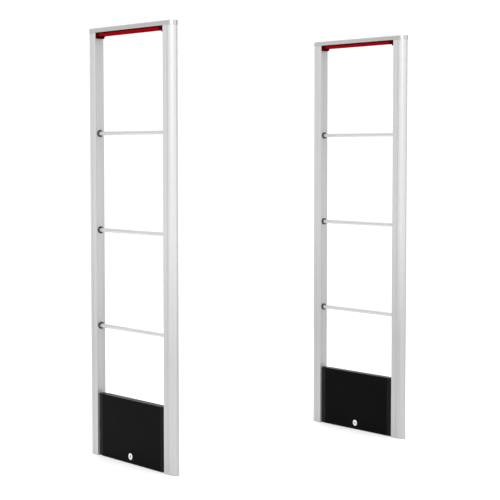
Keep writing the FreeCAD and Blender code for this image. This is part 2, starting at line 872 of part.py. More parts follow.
def export(name, solids):
    shape = solids[0] if len(solids) == 1 else Part.makeCompound(solids)
    shape.exportStep("parts/" + name + ".step")


places = {"a": -spacing / 2, "b": spacing / 2}

for name, solids in pedestal_pieces().items():
    for letter, y in places.items():
        export(name + "_" + letter, [placed(solid, y) for solid in solids])

for name, solids in shared_pieces().items():
    export(name, [placed(solid, y) for y in places.values() for solid in solids])
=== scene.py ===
import bmesh
import bpy
import math
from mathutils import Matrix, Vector


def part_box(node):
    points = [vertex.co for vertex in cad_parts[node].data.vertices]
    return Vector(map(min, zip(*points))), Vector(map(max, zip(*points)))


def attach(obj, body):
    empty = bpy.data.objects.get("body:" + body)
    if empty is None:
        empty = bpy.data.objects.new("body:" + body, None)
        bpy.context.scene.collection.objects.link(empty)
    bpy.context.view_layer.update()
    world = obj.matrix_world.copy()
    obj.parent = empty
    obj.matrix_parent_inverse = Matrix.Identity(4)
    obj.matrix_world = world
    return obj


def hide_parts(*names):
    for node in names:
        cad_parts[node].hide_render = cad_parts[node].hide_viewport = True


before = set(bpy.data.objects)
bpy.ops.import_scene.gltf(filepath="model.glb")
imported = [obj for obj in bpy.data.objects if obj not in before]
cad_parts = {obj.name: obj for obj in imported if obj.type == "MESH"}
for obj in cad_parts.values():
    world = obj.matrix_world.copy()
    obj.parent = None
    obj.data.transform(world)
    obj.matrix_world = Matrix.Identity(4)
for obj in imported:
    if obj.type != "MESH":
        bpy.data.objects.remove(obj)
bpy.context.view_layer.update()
pedestals = ("a", "b")


# Base plates and chassis plates: 4 mm and 2 mm sheet steel, bent and welded, then zinc plated.
# The plate is bolted to the floor and screwed to the posts; the chassis stands on it.
zinc_shade = (0.60, 0.61, 0.62, 1)
zinc_dull_shade = (0.47, 0.48, 0.50, 1)
steel_edge = 0.0004
join_distance = 2e-6
flat_angle = math.radians(0.5)


def shader_material(name, rough, metal=0.0):
    # A material with one surface shader, and the node tree to add its pattern to
    material = bpy.data.materials.new(name)
    material.use_nodes = True
    shader = material.node_tree.nodes["Principled BSDF"]
    shader.inputs["Roughness"].default_value = rough
    shader.inputs["Metallic"].default_value = metal
    return material, material.node_tree, shader


def patterned(tree, scale, stretch=(1, 1, 1), pattern="noise", detail=4.0):
    # A pattern on the object's own coordinates, stretched along each axis
    place = tree.nodes.new("ShaderNodeTexCoord")
    turn = tree.nodes.new("ShaderNodeMapping")
    turn.inputs["Scale"].default_value = stretch
    tree.links.new(place.outputs["Object"], turn.inputs["Vector"])
    if pattern == "noise":
        texture = tree.nodes.new("ShaderNodeTexNoise")
        texture.inputs["Detail"].default_value = detail
        result = texture.outputs["Fac"]
    else:
        texture = tree.nodes.new("ShaderNodeTexVoronoi")
        result = texture.outputs["Color"]
    texture.inputs["Scale"].default_value = scale
    tree.links.new(turn.outputs["Vector"], texture.inputs["Vector"])
    return result


def shade_between(tree, shader, fac, first, second, low=0.3, high=0.7):
    # Colour that drifts between two shades of the finish
    ramp = tree.nodes.new("ShaderNodeValToRGB")
    ramp.color_ramp.elements[0].position = low
    ramp.color_ramp.elements[0].color = first
    ramp.color_ramp.elements[1].position = high
    ramp.color_ramp.elements[1].color = second
    tree.links.new(fac, ramp.inputs["Fac"])
    tree.links.new(ramp.outputs["Color"], shader.inputs["Base Color"])
    return ramp


def rough_between(tree, shader, fac, low, high):
    # Roughness that follows the same pattern as the wear or the grain
    spread = tree.nodes.new("ShaderNodeMapRange")
    spread.inputs["To Min"].default_value = low
    spread.inputs["To Max"].default_value = high
    tree.links.new(fac, spread.inputs["Value"])
    tree.links.new(spread.outputs["Result"], shader.inputs["Roughness"])


def raised(tree, shader, fac, strength, distance):
    # Relief of the surface
    bump = tree.nodes.new("ShaderNodeBump")
    bump.inputs["Strength"].default_value = strength
    bump.inputs["Distance"].default_value = distance
    tree.links.new(fac, bump.inputs["Height"])
    tree.links.new(bump.outputs["Normal"], shader.inputs["Normal"])


def clad(node, material):
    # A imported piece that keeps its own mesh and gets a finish
    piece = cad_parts[node]
    if not piece.material_slots:
        piece.data.materials.append(material)
    for place in piece.material_slots:
        place.material = material


def softened(node, name, body, material, edge, rounds=2, sharp=28):
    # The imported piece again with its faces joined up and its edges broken, as a piece of its own
    work = bmesh.new()
    work.from_mesh(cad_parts[node].data)
    bmesh.ops.remove_doubles(work, verts=work.verts, dist=join_distance)
    bmesh.ops.dissolve_limit(work, angle_limit=flat_angle, verts=work.verts, edges=work.edges)
    mesh = bpy.data.meshes.new(name)
    work.to_mesh(mesh)
    work.free()
    mesh.materials.append(material)
    mesh.shade_smooth()
    mesh.set_sharp_from_angle(angle=math.radians(sharp))
    piece = bpy.data.objects.new(name, mesh)
    bpy.context.scene.collection.objects.link(piece)
    bevel = piece.modifiers.new("broken_edges", "BEVEL")
    bevel.width = edge
    bevel.segments = rounds
    bevel.limit_method = "ANGLE"
    bevel.angle_limit = math.radians(sharp)
    bevel.use_clamp_overlap = True
    bevel.harden_normals = True
    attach(piece, body)
    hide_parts(node)
    return piece


zinc_steel, tree, shader = shader_material("zinc_plated_steel", rough=0.4, metal=0.9)
spangle = patterned(tree, scale=160, pattern="cells")
shade_between(tree, shader, spangle, zinc_dull_shade, zinc_shade)
rough_between(tree, shader, spangle, low=0.34, high=0.5)
raised(tree, shader, patterned(tree, scale=900), strength=0.15, distance=0.0001)

for letter in pedestals:
    softened("base_plate_" + letter, "base_strip_" + letter, "gate", zinc_steel,
             steel_edge)
    softened("chassis_plate_" + letter, "chassis_sheet_" + letter, "gate", zinc_steel,
             steel_edge)


# Foot screws: plain-headed steel screws, four to a pedestal, through the turned-up ends of the base
# plate into the posts' inner walls. The same tree makes every screw of the gate from its head up.
foot_head_radius = 0.0026
foot_head_height = 0.0017
foot_shank_radius = 0.00175
recess_share = 0.25
recess_reach = 1.1
head_sides = 28
shank_sides = 16
screw_shade = (0.62, 0.62, 0.63, 1)
screw_dull_shade = (0.48, 0.48, 0.49, 1)


def node_group(name, sizes):
    # An empty geometry tree with a socket for the places and one for every size
    tree = bpy.data.node_groups.new(name, "GeometryNodeTree")
    tree.interface.new_socket("Places", in_out="INPUT", socket_type="NodeSocketGeometry")
    for label, value in sizes.items():
        socket = tree.interface.new_socket(label, in_out="INPUT", socket_type="NodeSocketFloat")
        socket.default_value = value
    tree.interface.new_socket("Pieces", in_out="OUTPUT", socket_type="NodeSocketGeometry")
    return tree, tree.nodes.new("NodeGroupInput"), tree.nodes.new("NodeGroupOutput")


def linked(tree, kind, feeds=(), **settings):
    # A node with its settings and the sockets that feed it
    node = tree.nodes.new(kind)
    for key, value in settings.items():
        setattr(node, key, value)
    for socket, source in dict(feeds).items():
        if isinstance(source, bpy.types.NodeSocket):
            tree.links.new(source, node.inputs[socket])
        else:
            node.inputs[socket].default_value = source
    return node


def repeated(tree, given, made, item, material, turn=(0, 0, 0)):
    # The last steps of every tree: one item at each place, made real and given its finish
    points = linked(tree, "GeometryNodeMeshToPoints", {"Mesh": given.outputs["Places"]})
    each = linked(tree, "GeometryNodeInstanceOnPoints",
                  {"Points": points.outputs["Points"], "Instance": item, "Rotation": turn})
    real = linked(tree, "GeometryNodeRealizeInstances", {"Geometry": each.outputs["Instances"]})
    coated = linked(tree, "GeometryNodeSetMaterial", {"Geometry": real.outputs["Geometry"],
                                                      "Material": material})
    tree.links.new(coated.outputs["Geometry"], made.inputs["Pieces"])


def set_out(name, places, tree, sizes, body, replaced=(), sharp=28):
    # Runs a tree on a list of places and keeps what it makes as a plain mesh piece
    mesh = bpy.data.meshes.new(name + "_places")
    mesh.from_pydata(places, [], [])
    holder = bpy.data.objects.new(name + "_places", mesh)
    bpy.context.scene.collection.objects.link(holder)
    maker = holder.modifiers.new("maker", "NODES")
    maker.node_group = tree
    for socket in tree.interface.items_tree:
        if socket.in_out == "INPUT" and socket.name in sizes:
            maker[socket.identifier] = sizes[socket.name]
    bpy.context.view_layer.update()
    seen = holder.evaluated_get(bpy.context.evaluated_depsgraph_get())
    result = bpy.data.meshes.new_from_object(seen)
    result.name = name
    result.shade_smooth()
    result.set_sharp_from_angle(angle=math.radians(sharp))
    bpy.data.objects.remove(holder)
    piece = bpy.data.objects.new(name, result)
    bpy.context.scene.collection.objects.link(piece)
    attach(piece, body)
    if replaced:
        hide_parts(*replaced)
    return piece


def solid_centres(node):
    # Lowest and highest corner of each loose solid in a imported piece
    work = bmesh.new()
    work.from_mesh(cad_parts[node].data)
    bmesh.ops.remove_doubles(work, verts=work.verts, dist=join_distance)
    left = set(work.verts)
    found = []
    while left:
        waiting = [left.pop()]
        reached = list(waiting)
        while waiting:
            for edge in waiting.pop().link_edges:
                for vert in edge.verts:
                    if vert in left:
                        left.remove(vert)
                        waiting.append(vert)
                        reached.append(vert)
        low = Vector([min(v.co[axis] for v in reached) for axis in range(3)])
        high = Vector([max(v.co[axis] for v in reached) for axis in range(3)])
        found.append((low, high))
    work.free()
    return sorted(found, key=lambda pair: tuple(round(value, 5) for value in pair[0]))


screw_steel, tree, shader = shader_material("bright_screw_steel", rough=0.3, metal=1.0)
worn = patterned(tree, scale=700)
shade_between(tree, shader, worn, screw_dull_shade, screw_shade)
rough_between(tree, shader, worn, low=0.22, high=0.42)


def screw_tree(name, material, turn):
    # Flat head with a cross recess on top of a plain shank, standing along its own Z
    tree, given, made = node_group(name, {"Head radius": 0.003, "Head height": 0.0015,
                                          "Shank radius": 0.0015, "Shank length": 0.01,
                                          "Recess width": 0.0006})
    head = linked(tree, "GeometryNodeMeshCylinder",
                  {"Vertices": head_sides, "Radius": given.outputs["Head radius"],
                   "Depth": given.outputs["Head height"]})
    half = linked(tree, "ShaderNodeMath", {0: given.outputs["Head height"], 1: 0.5},
                  operation="MULTIPLY")
    lift = linked(tree, "ShaderNodeCombineXYZ", {"Z": half.outputs[0]})
    seated = linked(tree, "GeometryNodeTransform", {"Geometry": head.outputs["Mesh"],
                                                    "Translation": lift.outputs[0]})
    long = linked(tree, "ShaderNodeMath", {0: given.outputs["Head radius"], 1: recess_reach},
                  operation="MULTIPLY")
    bar = linked(tree, "ShaderNodeCombineXYZ",
                 {"X": long.outputs[0], "Y": given.outputs["Recess width"],
                  "Z": given.outputs["Head height"]})
    slot_a = linked(tree, "GeometryNodeMeshCube", {"Size": bar.outputs[0]})
    raise_z = linked(tree, "ShaderNodeCombineXYZ", {"Z": given.outputs["Head height"]})
    slot_b = linked(tree, "GeometryNodeTransform", {"Geometry": slot_a.outputs["Mesh"],
                                                    "Translation": raise_z.outputs[0]})
    slot_c = linked(tree, "GeometryNodeTransform", {"Geometry": slot_b.outputs["Geometry"],
                                                    "Rotation": (0, 0, math.pi / 2)})
    recess = linked(tree, "GeometryNodeMeshBoolean", {"Mesh 1": seated.outputs["Geometry"]},
                    operation="DIFFERENCE")
    tree.links.new(slot_b.outputs["Geometry"], recess.inputs["Mesh 2"])
    tree.links.new(slot_c.outputs["Geometry"], recess.inputs["Mesh 2"])
    shank = linked(tree, "GeometryNodeMeshCylinder",
                   {"Vertices": shank_sides, "Radius": given.outputs["Shank radius"],
                    "Depth": given.outputs["Shank length"]})
    down = linked(tree, "ShaderNodeMath", {0: given.outputs["Shank length"], 1: -0.5},
                  operation="MULTIPLY")
    below = linked(tree, "ShaderNodeCombineXYZ", {"Z": down.outputs[0]})
    hung = linked(tree, "GeometryNodeTransform", {"Geometry": shank.outputs["Mesh"],
                                                  "Translation": below.outputs[0]})
    whole = tree.nodes.new("GeometryNodeJoinGeometry")
    tree.links.new(recess.outputs["Mesh"], whole.inputs["Geometry"])
    tree.links.new(hung.outputs["Geometry"], whole.inputs["Geometry"])
    repeated(tree, given, made, whole.outputs["Geometry"], material, turn)
    return tree


def screws_along_x(node, name, material, head_radius, head_height, shank_radius):
    # Screws whose heads face the middle of the pedestal: the right-hand ones, then the left-hand
    made = []
    for side, turn, inner in (("right", (0, -math.pi / 2, 0), 0), ("left", (0, math.pi / 2, 0), 1)):
        solids = [pair for pair in solid_centres(node) if (pair[0].x > 0) == (side == "right")]
        places = []
        for low, high in solids:
            head_x = low.x + head_height if inner == 0 else high.x - head_height
            places.append((head_x, (low.y + high.y) / 2, (low.z + high.z) / 2))
        sizes = {"Head radius": head_radius, "Head height": head_height,
                 "Shank radius": shank_radius,
                 "Shank length": (high - low).x - head_height,
                 "Recess width": head_radius * recess_share}
        made.append(set_out(name + "_" + side, places,
                            screw_tree(name + "_" + side, material, turn),
                            sizes, "gate"))
    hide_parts(node)
    return made


screws_along_x("foot_screws", "foot_screw_set", screw_steel, foot_head_radius,
               foot_head_height, foot_shank_radius)


# Foot plugs: grey moulded plates that close the foot of each post, with a block that locates
# inside the extrusion. They keep the cut aluminium off the floor.
foot_edge = 0.0003
foot_grey_dark = (0.30, 0.30, 0.31, 1)
foot_grey_light = (0.38, 0.38, 0.39, 1)
foot_grey, tree, shader = shader_material("moulded_foot_grey", rough=0.6)
mottle = patterned(tree, scale=260)
shade_between(tree, shader, mottle, foot_grey_dark, foot_grey_light)
raised(tree, shader, patterned(tree, scale=1400), strength=0.3, distance=0.0001)
softened("foot_plugs", "foot_plug_set", "gate", foot_grey, foot_edge)


# Cable glands: black nylon, screwed through the base plate, with a hexagon collar and a domed nut
# that squeezes the supply lead as it comes up out of the floor.
gland_edge = 0.0004
gland_nylon_dark = (0.03, 0.03, 0.032, 1)
gland_nylon_light = (0.06, 0.06, 0.062, 1)
gland_nylon, tree, shader = shader_material("gland_nylon", rough=0.5)
shade_between(tree, shader, patterned(tree, scale=500), gland_nylon_dark, gland_nylon_light)
raised(tree, shader, patterned(tree, scale=1800), strength=0.25, distance=0.0001)
for letter in pedestals:
    softened("cable_gland_" + letter, "gland_" + letter, "gate", gland_nylon,
             gland_edge)


# Guide rails: black nylon bars pegged to the posts' inner faces. The hooks of the front cover
# slide up and down behind them, which polishes the nylon in upright streaks.
rail_edge = 0.0003
rail_nylon_dark = (0.02, 0.02, 0.02, 1)
rail_nylon_light = (0.045, 0.045, 0.047, 1)
rail_nylon, tree, shader = shader_material("rail_nylon", rough=0.45)
rubbed = patterned(tree, scale=900, stretch=(1, 1, 0.03))
shade_between(tree, shader, rubbed, rail_nylon_dark, rail_nylon_light)
rough_between(tree, shader, rubbed, low=0.3, high=0.55)
for letter in pedestals:
    softened("guide_rails_" + letter, "guide_rail_pair_" + letter, "gate", rail_nylon,
             rail_edge)


# Main boards: green circuit boards on four brass standoffs, with three large chips in black resin
# and four capacitors in dark sleeves with bare aluminium tops. Copper tracks show through.
track_green = (0.02, 0.20, 0.07, 1)
board_green = (0.012, 0.11, 0.045, 1)
circuit_board, tree, shader = shader_material("green_circuit_board", rough=0.35)
tracks = linked(tree, "ShaderNodeTexBrick",
                {"Scale": 1.0, "Mortar Size": 0.0006, "Brick Width": 0.012,
                 "Row Height": 0.0035, "Color1": board_green,
                 "Color2": board_green, "Mortar": track_green})
lie = linked(tree, "ShaderNodeTexCoord")
stand = linked(tree, "ShaderNodeMapping", {"Vector": lie.outputs["Object"],
                                           "Rotation": (math.pi / 2, 0, 0)})
tree.links.new(stand.outputs["Vector"], tracks.inputs["Vector"])
tree.links.new(tracks.outputs["Color"], shader.inputs["Base Color"])
raised(tree, shader, tracks.outputs["Fac"], strength=0.3, distance=0.0001)
board_edge = 0.0002
board_sheet = 0.0016
chip_top = 0.0036
face_slack = 0.0001
front_facing = -0.9
chip_resin_dark = (0.012, 0.012, 0.013, 1)
chip_resin_light = (0.030, 0.030, 0.031, 1)
chip_resin, tree, shader = shader_material("black_chip_resin", rough=0.55)
shade_between(tree, shader, patterned(tree, scale=900), chip_resin_dark, chip_resin_light)
raised(tree, shader, patterned(tree, scale=2200), strength=0.2, distance=0.00005)
capacitor_sleeve_dark = (0.010, 0.014, 0.040, 1)
capacitor_sleeve_light = (0.020, 0.026, 0.065, 1)
capacitor_sleeve, tree, shader = shader_material("capacitor_sleeve", rough=0.35)
shade_between(tree, shader, patterned(tree, scale=500, stretch=(1, 0.1, 1)), capacitor_sleeve_dark,
              capacitor_sleeve_light)
capacitor_top_dark = (0.50, 0.50, 0.51, 1)
capacitor_top_light = (0.64, 0.64, 0.65, 1)
capacitor_top, tree, shader = shader_material("capacitor_top", rough=0.3, metal=1.0)
pressed = patterned(tree, scale=900)
shade_between(tree, shader, pressed, capacitor_top_dark, capacitor_top_light)
rough_between(tree, shader, pressed, low=0.24, high=0.4)


def finished_where(piece, material, belongs):
    # A second finish on the faces of a piece that belong to another part of it
    piece.data.materials.append(material)
    for face in piece.data.polygons:
        if belongs(face):
            face.material_index = len(piece.data.materials) - 1


for letter in pedestals:
    board = softened("main_board_" + letter, "circuit_board_" + letter, "gate",
                     circuit_board, board_edge)
    back_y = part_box("main_board_" + letter)[1].y
    finished_where(board, chip_resin,
                   lambda face: back_y - face.center.y > board_sheet + face_slack)
    finished_where(board, capacitor_sleeve,
                   lambda face: back_y - face.center.y > chip_top + face_slack)
    finished_where(board, capacitor_top, lambda face: back_y - face.center.y > chip_top + face_slack
                   and face.normal.y < front_facing)


# Small soldered parts: rows of tiny ceramic blocks between the chips and the terminals, each with
# tinned ends, set by a pick-and-place machine with here and there one left off.
part_size = (0.0032, 0.0009, 0.0016)
part_pitch = 0.0055
part_columns = 11
part_rows = 3
part_seed = 7
part_kept_share = 0.85
first_part_x = 0.018
first_part_z = 0.022
part_row_pitch = 0.005
ceramic_dark = (0.20, 0.14, 0.08, 1)
ceramic_light = (0.42, 0.36, 0.26, 1)
ceramic, tree, shader = shader_material("ceramic_parts", rough=0.5)
shade_between(tree, shader, patterned(tree, scale=240, pattern="cells"), ceramic_dark,
              ceramic_light)


def part_row_tree():
    # A block at each place, some places skipped by a fixed seed
    tree, given, made = node_group("small_soldered_parts", {"Length": part_size[0],
                                                            "Height": part_size[1],
                                                            "Width": part_size[2],
                                                            "Kept share": part_kept_share})
    size = linked(tree, "ShaderNodeCombineXYZ", {"X": given.outputs["Length"],
                                                 "Y": given.outputs["Height"],
                                                 "Z": given.outputs["Width"]})
    block = linked(tree, "GeometryNodeMeshCube", {"Size": size.outputs[0]})
    points = linked(tree, "GeometryNodeMeshToPoints", {"Mesh": given.outputs["Places"]})
    kept = linked(tree, "FunctionNodeRandomValue", {"Probability": given.outputs["Kept share"],
                                                    "Seed": part_seed}, data_type="BOOLEAN")
    each = linked(tree, "GeometryNodeInstanceOnPoints",
                  {"Points": points.outputs["Points"], "Instance": block.outputs["Mesh"],
                   "Selection": kept.outputs[3]})
    real = linked(tree, "GeometryNodeRealizeInstances", {"Geometry": each.outputs["Instances"]})
    coated = linked(tree, "GeometryNodeSetMaterial", {"Geometry": real.outputs["Geometry"],
                                                      "Material": ceramic})
    tree.links.new(coated.outputs["Geometry"], made.inputs["Pieces"])
    return tree


part_places = []
for letter in pedestals:
    low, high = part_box("main_board_" + letter)
    face_y = high.y - board_sheet - part_size[1] / 2
    for row in range(part_rows):
        for column in range(part_columns):
            part_places.append((low.x + first_part_x + column * part_pitch, face_y,
                                low.z + first_part_z + row * part_row_pitch))
set_out("small_soldered_parts", part_places, part_row_tree(), {}, "gate")


# Shield cans: boxes pressed from thin tinplate, which keep stray signals out. They are soldered
# over the receiver's circuits.
can_edge = 0.0006
tin_plate_dark = (0.55, 0.55, 0.53, 1)
tin_plate_light = (0.70, 0.70, 0.68, 1)
tin_plate, tree, shader = shader_material("tin_plate", rough=0.25, metal=1.0)
smear = patterned(tree, scale=120, stretch=(1, 1, 0.2))
shade_between(tree, shader, smear, tin_plate_dark, tin_plate_light)
rough_between(tree, shader, smear, low=0.18, high=0.36)
for letter in pedestals:
    softened("shield_can_" + letter, "tin_can_" + letter, "gate", tin_plate, can_edge,
             rounds=3)


# Sounders: round alarm buzzers in black moulded cases, with one sound hole in front. Their pins
# are soldered to the board.
sounder_edge = 0.0006
sounder_black_dark = (0.02, 0.02, 0.02, 1)
sounder_black_light = (0.05, 0.05, 0.05, 1)
sounder_black, tree, shader = shader_material("sounder_black", rough=0.5)
shade_between(tree, shader, patterned(tree, scale=400), sounder_black_dark, sounder_black_light)
for letter in pedestals:
    softened("sounder_" + letter, "buzzer_" + letter, "gate", sounder_black,
             sounder_edge, rounds=3)


# Terminal blocks: green moulded strips with eight screw wells each, which clamp the wires. They
# are soldered along the board's lower edge.
terminal_edge = 0.0003
terminal_green_dark = (0.03, 0.30, 0.11, 1)
terminal_green_light = (0.05, 0.40, 0.16, 1)
terminal_green, tree, shader = shader_material("terminal_green", rough=0.4)
shade_between(tree, shader, patterned(tree, scale=500), terminal_green_dark, terminal_green_light)
for letter in pedestals:
    softened("terminal_block_" + letter, "terminals_" + letter, "gate",
             terminal_green, terminal_edge)


# Power supplies: folded steel boxes painted grey, with nine vent slots in the front. They are
# fixed to the chassis plate beside the main board.
supply_edge = 0.0006
supply_grey_dark = (0.20, 0.21, 0.22, 1)
supply_grey_light = (0.27, 0.28, 0.29, 1)
supply_grey, tree, shader = shader_material("supply_grey_paint", rough=0.55, metal=0.0)
fleck = patterned(tree, scale=1100)
shade_between(tree, shader, fleck, supply_grey_dark, supply_grey_light)
raised(tree, shader, fleck, strength=0.35, distance=0.0001)
for letter in pedestals:
    softened("power_supply_" + letter, "supply_box_" + letter, "gate", supply_grey,
             supply_edge)


# Standoffs: turned brass pillars with six flats, four to a pedestal. They stand on the chassis
# plate and hold the main board clear of it.
standoff_radius = 0.003
standoff_flats = 6
plain_brass_dark = (0.48, 0.35, 0.13, 1)
plain_brass_light = (0.66, 0.50, 0.22, 1)
plain_brass, tree, shader = shader_material("plain_brass", rough=0.3, metal=1.0)
turned = patterned(tree, scale=800)
shade_between(tree, shader, turned, plain_brass_dark, plain_brass_light)
rough_between(tree, shader, turned, low=0.22, high=0.4)


def standoff_tree():
    # One six-sided pillar at each place, lying along Y
    tree, given, made = node_group("standoff_pillars", {"Radius": standoff_radius, "Length": 0.003})
    pillar = linked(tree, "GeometryNodeMeshCylinder",
                    {"Vertices": standoff_flats, "Radius": given.outputs["Radius"],
                     "Depth": given.outputs["Length"]})
    repeated(tree, given, made, pillar.outputs["Mesh"], plain_brass, (math.pi / 2, 0, 0))
    return tree


pillars = solid_centres("standoffs")
set_out("standoff_pillars", [tuple((low + high) / 2) for low, high in pillars], standoff_tree(),
        {"Length": (pillars[0][1] - pillars[0][0]).y}, "gate", ["standoffs"])


# Posts: hollow aluminium extrusions, flat towards the frame and rounded outside, with a narrow
# groove where the two meet. Drawn, brushed along their length and clear anodised. The lower half
# of the posts has painted shade, its colour darkening towards the floor.
post_edge = 0.0004
post_light = (0.60, 0.60, 0.605, 1)
post_shade = (0.55, 0.55, 0.555, 1)
painted_shade_top = 0.40
unshaded_from = 0.85
painted_shade_share = 0.80
post_aluminium, tree, shader = shader_material("anodised_post_aluminium", rough=0.42, metal=0.55)
drawn = patterned(tree, scale=210, stretch=(1, 1, 0.003), detail=3.0)
finish = shade_between(tree, shader, drawn, post_shade, post_light, low=0.35, high=0.65)
upright = linked(tree, "ShaderNodeTexCoord")
height = linked(tree, "ShaderNodeSeparateXYZ", {"Vector": upright.outputs["Object"]})
# Painted shade: the colour is multiplied darker from this height down to the foot of the post.
painted_shade_ramp = linked(tree, "ShaderNodeMapRange", {"Value": height.outputs["Z"], "From Min": painted_shade_top,
                                           "From Max": unshaded_from, "To Min": painted_shade_share,
                                           "To Max": 1.0})
painted_shade_mix = linked(tree, "ShaderNodeMix", {"Factor": 1.0, 6: finish.outputs["Color"],
                                        7: painted_shade_ramp.outputs["Result"]},
                data_type="RGBA", blend_type="MULTIPLY")
tree.links.new(painted_shade_mix.outputs[2], shader.inputs["Base Color"])
rough_between(tree, shader, drawn, low=0.36, high=0.5)
raised(tree, shader, drawn, strength=0.08, distance=0.00004)
for letter in pedestals:
    for hand in ("left", "right"):
        softened("post_" + hand + "_" + letter, "extruded_post_" + hand + "_" + letter, "gate",
                 post_aluminium, post_edge)


# Cross tubes: three thin aluminium tubes between the posts, which stiffen the frame. Each is
# drawn round with a 1.5 mm wall and runs into both posts.
tube_wall = 0.0015
tube_sides = 48
bore_stretch = (1.2, 1, 1)
rung_aluminium_dark = (0.52, 0.52, 0.53, 1)
rung_aluminium_light = (0.62, 0.62, 0.63, 1)
rung_aluminium, tree, shader = shader_material("satin_tube_aluminium", rough=0.4, metal=0.6)
along = patterned(tree, scale=700, stretch=(0.01, 1, 1))
shade_between(tree, shader, along, rung_aluminium_dark, rung_aluminium_light)
rough_between(tree, shader, along, low=0.32, high=0.46)


def tube_tree(length, radius):
    # A straight line swept with a circle, with the same sweep a wall smaller taken out of it
    tree, given, made = node_group("cross_tube",
                                   {"Length": length, "Radius": radius, "Wall": tube_wall})
    half = linked(tree, "ShaderNodeMath", {0: given.outputs["Length"], 1: 0.5},
                  operation="MULTIPLY")
    back = linked(tree, "ShaderNodeMath", {0: half.outputs[0], 1: -1.0}, operation="MULTIPLY")
    start = linked(tree, "ShaderNodeCombineXYZ", {"X": back.outputs[0]})
    end = linked(tree, "ShaderNodeCombineXYZ", {"X": half.outputs[0]})
    line = linked(tree, "GeometryNodeCurvePrimitiveLine",
                  {"Start": start.outputs[0], "End": end.outputs[0]})
    inner = linked(tree, "ShaderNodeMath", {0: given.outputs["Radius"], 1: given.outputs["Wall"]},
                   operation="SUBTRACT")
    outside = linked(tree, "GeometryNodeCurvePrimitiveCircle",
                     {"Resolution": tube_sides, "Radius": given.outputs["Radius"]})
    inside = linked(tree, "GeometryNodeCurvePrimitiveCircle",
                    {"Resolution": tube_sides, "Radius": inner.outputs[0]})
    skin = linked(tree, "GeometryNodeCurveToMesh", {"Curve": line.outputs["Curve"],
                                                    "Profile Curve": outside.outputs["Curve"],
                                                    "Fill Caps": True})
    bore = linked(tree, "GeometryNodeCurveToMesh", {"Curve": line.outputs["Curve"],
                                                    "Profile Curve": inside.outputs["Curve"],
                                                    "Fill Caps": True})
    longer = linked(tree, "GeometryNodeTransform",
                    {"Geometry": bore.outputs["Mesh"], "Scale": bore_stretch})
    hollow = linked(tree, "GeometryNodeMeshBoolean", {"Mesh 1": skin.outputs["Mesh"]},
                    operation="DIFFERENCE")
    tree.links.new(longer.outputs["Geometry"], hollow.inputs["Mesh 2"])
    repeated(tree, given, made, hollow.outputs["Mesh"], rung_aluminium)
    return tree


for letter in pedestals:
    for level in ("bottom", "middle", "top"):
        node = "rung_" + level + "_" + letter
        low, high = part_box(node)
        tree = tube_tree((high - low).x, (high - low).z / 2)
        set_out("cross_tube_" + level + "_" + letter, [tuple((low + high) / 2)], tree, {}, "gate",
                [node])


# Tube bushes: black moulded rings that hide the hole where a tube enters a post. Each has a
# rounded rim and a spigot that sits in the post's wall.
bush_rim = 0.0009
bush_black_dark = (0.012, 0.012, 0.012, 1)
bush_black_light = (0.03, 0.03, 0.03, 1)
bush_black, tree, shader = shader_material("bush_black", rough=0.5)
shade_between(tree, shader, patterned(tree, scale=500), bush_black_dark, bush_black_light)
raised(tree, shader, patterned(tree, scale=1500), strength=0.2, distance=0.0001)
bushes = solid_centres("rung_bushes")
tube_low, tube_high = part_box("rung_bottom_a")
bush_radius = (bushes[0][1] - bushes[0][0]).z / 2
bush_gap = 0.0001
bush_bore = (tube_high - tube_low).z / 2 + bush_gap
bush_ring = 0.003
bush_sides = 40
spigot_radius = 0.0086
spigot_length = 0.0022
spigot_round = 0.0001


def bush_tree(turn):
    # A rounded section swept round a circle, with a thin collar behind it for the spigot
    tree, given, made = node_group("tube_bush",
                                   {"Outer radius": bush_radius, "Bore radius": bush_bore,
                                    "Ring width": bush_ring, "Rim round": bush_rim,
                                    "Spigot radius": spigot_radius,
                                    "Spigot length": spigot_length})

    def ring(outer, inner, depth, rounding, offset):
        middle = linked(tree, "ShaderNodeMath", {0: outer, 1: inner}, operation="ADD")
        mean = linked(tree, "ShaderNodeMath", {0: middle.outputs[0], 1: 0.5}, operation="MULTIPLY")
        wall = linked(tree, "ShaderNodeMath", {0: outer, 1: inner}, operation="SUBTRACT")
        path = linked(tree, "GeometryNodeCurvePrimitiveCircle", {"Resolution": bush_sides,
                                                                 "Radius": mean.outputs[0]})
        section = linked(tree, "GeometryNodeCurvePrimitiveQuadrilateral",
                         {"Width": wall.outputs[0], "Height": depth})
        soft = linked(tree, "GeometryNodeFilletCurve", {"Curve": section.outputs["Curve"],
                                                        "Radius": rounding, "Count": 3,
                                                        "Limit Radius": True}, mode="POLY")
        swept = linked(tree, "GeometryNodeCurveToMesh", {"Curve": path.outputs["Curve"],
                                                         "Profile Curve": soft.outputs["Curve"]})
        shift = linked(tree, "ShaderNodeCombineXYZ", {"Z": offset})
        return linked(tree, "GeometryNodeTransform", {"Geometry": swept.outputs["Mesh"],
                                                      "Translation": shift.outputs[0]})

    half = linked(tree, "ShaderNodeMath", {0: given.outputs["Ring width"], 1: 0.5},
                  operation="MULTIPLY")
    behind = linked(tree, "ShaderNodeMath", {0: given.outputs["Spigot length"], 1: -0.5},
                    operation="MULTIPLY")
    rim = ring(given.outputs["Outer radius"], given.outputs["Bore radius"],
               given.outputs["Ring width"],
               given.outputs["Rim round"], half.outputs[0])
    collar = ring(given.outputs["Spigot radius"], given.outputs["Bore radius"],
                  given.outputs["Spigot length"], spigot_round, behind.outputs[0])
    both = tree.nodes.new("GeometryNodeJoinGeometry")
    tree.links.new(rim.outputs["Geometry"], both.inputs["Geometry"])
    tree.links.new(collar.outputs["Geometry"], both.inputs["Geometry"])
    repeated(tree, given, made, both.outputs["Geometry"], bush_black, turn)
    return tree


